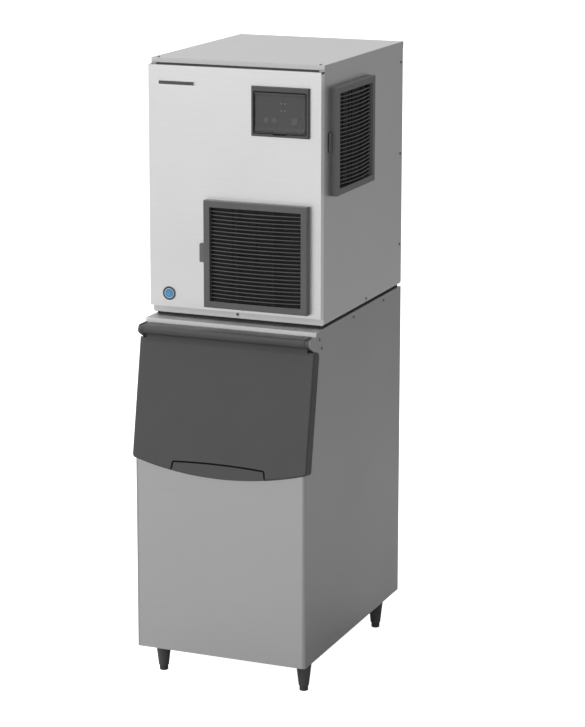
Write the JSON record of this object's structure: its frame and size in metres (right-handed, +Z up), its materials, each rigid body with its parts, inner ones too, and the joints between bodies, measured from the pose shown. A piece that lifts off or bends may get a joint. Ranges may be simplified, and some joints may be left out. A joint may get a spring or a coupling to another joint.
{
  "type": "nugget ice machine",
  "caption": "Floor-standing nugget ice maker on an insulated storage bin: steel cabinet, bowed louvre grilles, hinged sloping bin door, flip-up control window, legs with screw feet",
  "frame": {"origin": "middle of the footprint's bounding box, at floor level", "axes": "+X to the viewer's right when facing the machine, +Y from front to back, +Z up"},
  "size_m": [0.5938, 0.8542, 1.9222],
  "materials": {
    "head_base_pan": "brushed",
    "head_left_panel": "brushed",
    "head_right_panel": "brushed",
    "head_rear_panel": "satin",
    "head_top_panel": "brushed",
    "head_front_panel": "brushed",
    "head_gasket": "matt",
    "cabinet_screws": "satin",
    "front_louvre": "fine grain",
    "front_air_filter": "mesh",
    "side_louvre": "fine grain",
    "side_air_filter": "mesh",
    "control_bezel": "fine grain",
    "control_lid": "smoked",
    "control_face": "satin",
    "start_button": "satin",
    "stop_button": "satin",
    "reset_button": "satin",
    "name_plate": "satin",
    "round_badge": "satin",
    "electrical_box": "satin",
    "gear_motor": "satin",
    "lower_housing": "cast",
    "freezing_cylinder": "turned",
    "evaporator_jacket": "foam",
    "auger": "turned",
    "extruding_head": "cast",
    "ice_cutter": "turned",
    "ice_spout": "moulded",
    "drop_chute": "moulded",
    "full_bin_paddle": "moulded",
    "condenser": "finned",
    "fan_shroud": "zinc plated",
    "fan_motor": "satin",
    "fan_blade": "pressed",
    "compressor": "gloss",
    "compressor_grommets": "matt",
    "refrigerant_pipes": "drawn copper",
    "water_tank": "moulded",
    "tank_cover": "moulded",
    "tank_float": "moulded",
    "inlet_valve": "cast",
    "water_hoses": "soft",
    "drain_fittings": "moulded",
    "cord_gland": "moulded",
    "bin_front_panel": "brushed",
    "bin_left_panel": "brushed",
    "bin_right_panel": "brushed",
    "bin_back_panel": "satin",
    "bin_top_rail": "brushed",
    "bin_liner": "moulded",
    "bin_insulation": "foam",
    "hinge_blocks": "fine grain",
    "bin_door": "fine grain",
    "door_core": "moulded",
    "legs": "moulded",
    "foot_1": "moulded",
    "foot_2": "moulded",
    "foot_3": "moulded",
    "foot_4": "moulded"
  },
  "bodies": {
    "cabinet": {"head_base_pan": "head_base_pan", "head_left_panel": "head_left_panel", "head_right_panel": "head_right_panel", "head_rear_panel": "head_rear_panel", "head_top_panel": "head_top_panel", "head_front_panel": "head_front_panel", "head_gasket": "head_gasket", "cabinet_screws": "cabinet_screws", "front_louvre": "front_louvre", "side_louvre": "side_louvre", "control_bezel": "control_bezel", "control_face": "control_face", "name_plate": "name_plate", "round_badge": "round_badge", "electrical_box": "electrical_box", "gear_motor": "gear_motor", "lower_housing": "lower_housing", "freezing_cylinder": "freezing_cylinder", "evaporator_jacket": "evaporator_jacket", "extruding_head": "extruding_head", "ice_spout": "ice_spout", "drop_chute": "drop_chute", "condenser": "condenser", "fan_shroud": "fan_shroud", "fan_motor": "fan_motor", "compressor": "compressor", "compressor_grommets": "compressor_grommets", "refrigerant_pipes": "refrigerant_pipes", "water_tank": "water_tank", "tank_cover": "tank_cover", "inlet_valve": "inlet_valve", "water_hoses": "water_hoses", "drain_fittings": "drain_fittings", "cord_gland": "cord_gland", "bin_front_panel": "bin_front_panel", "bin_left_panel": "bin_left_panel", "bin_right_panel": "bin_right_panel", "bin_back_panel": "bin_back_panel", "bin_top_rail": "bin_top_rail", "bin_liner": "bin_liner", "bin_insulation": "bin_insulation", "hinge_blocks": "hinge_blocks", "legs": "legs"},
    "door": {"bin_door": "bin_door", "door_core": "door_core"},
    "lid": {"control_lid": "control_lid"},
    "start": {"start_button": "start_button"},
    "stop": {"stop_button": "stop_button"},
    "reset": {"reset_button": "reset_button"},
    "front_filter": {"front_air_filter": "front_air_filter"},
    "side_filter": {"side_air_filter": "side_air_filter"},
    "fan": {"fan_blade": "fan_blade"},
    "ice_screw": {"auger": "auger", "ice_cutter": "ice_cutter"},
    "float": {"tank_float": "tank_float"},
    "paddle": {"full_bin_paddle": "full_bin_paddle"},
    "foot_a": {"foot_1": "foot_1"},
    "foot_b": {"foot_2": "foot_2"},
    "foot_c": {"foot_3": "foot_3"},
    "foot_d": {"foot_4": "foot_4"}
  },
  "joints": [
    {"name": "door_hinge", "type": "hinge", "parent": "cabinet", "child": "door", "pos_m": [-0.0109, -0.37038, 1.1045], "axis": [-1, 0, 0], "range_deg": [0, 105]},
    {"name": "lid_hinge", "type": "hinge", "parent": "cabinet", "child": "lid", "pos_m": [0.1406, -0.29938, 1.8344], "axis": [-1, 0, 0], "range_deg": [0, 100]},
    {"name": "start_push", "type": "slide", "parent": "cabinet", "child": "start", "axis": [0, 1, 0], "range_m": [0, 0.0012], "stiffness_N_per_m": 500, "springref_m": -0.0015},
    {"name": "stop_push", "type": "slide", "parent": "cabinet", "child": "stop", "axis": [0, 1, 0], "range_m": [0, 0.0012], "stiffness_N_per_m": 500, "springref_m": -0.0015},
    {"name": "reset_push", "type": "slide", "parent": "cabinet", "child": "reset", "axis": [0, 1, 0], "range_m": [0, 0.0012], "stiffness_N_per_m": 500, "springref_m": -0.0015},
    {"name": "front_filter_slide", "type": "slide", "parent": "cabinet", "child": "front_filter", "axis": [-1, 0, 0], "range_m": [0, 0.33]},
    {"name": "side_filter_slide", "type": "slide", "parent": "cabinet", "child": "side_filter", "axis": [0, -1, 0], "range_m": [0, 0.31]},
    {"name": "fan_spin", "type": "hinge", "parent": "cabinet", "child": "fan", "pos_m": [0.0616, -0.15388, 1.3322], "axis": [0, -1, 0], "continuous": true},
    {"name": "ice_screw_spin", "type": "hinge", "parent": "cabinet", "child": "ice_screw", "pos_m": [-0.2009, 0.06112, 1.2907], "axis": [0, 0, 1], "continuous": true},
    {"name": "float_slide", "type": "slide", "parent": "cabinet", "child": "float", "axis": [0, 0, 1], "range_m": [-0.03, 0.015]},
    {"name": "paddle_hinge", "type": "hinge", "parent": "cabinet", "child": "paddle", "pos_m": [0.0481, 0.06112, 1.108], "axis": [0, -1, 0], "range_deg": [0, 35]},
    {"name": "foot_a_screw", "type": "hinge", "parent": "cabinet", "child": "foot_a", "pos_m": [-0.2474, -0.31388, 0.017], "axis": [0, 0, 1], "continuous": true},
    {"name": "foot_b_screw", "type": "hinge", "parent": "cabinet", "child": "foot_b", "pos_m": [0.2256, -0.31388, 0.017], "axis": [0, 0, 1], "continuous": true},
    {"name": "foot_c_screw", "type": "hinge", "parent": "cabinet", "child": "foot_c", "pos_m": [-0.2474, 0.31412, 0.017], "axis": [0, 0, 1], "continuous": true},
    {"name": "foot_d_screw", "type": "hinge", "parent": "cabinet", "child": "foot_d", "pos_m": [0.2256, 0.31412, 0.017], "axis": [0, 0, 1], "continuous": true}
  ]
}
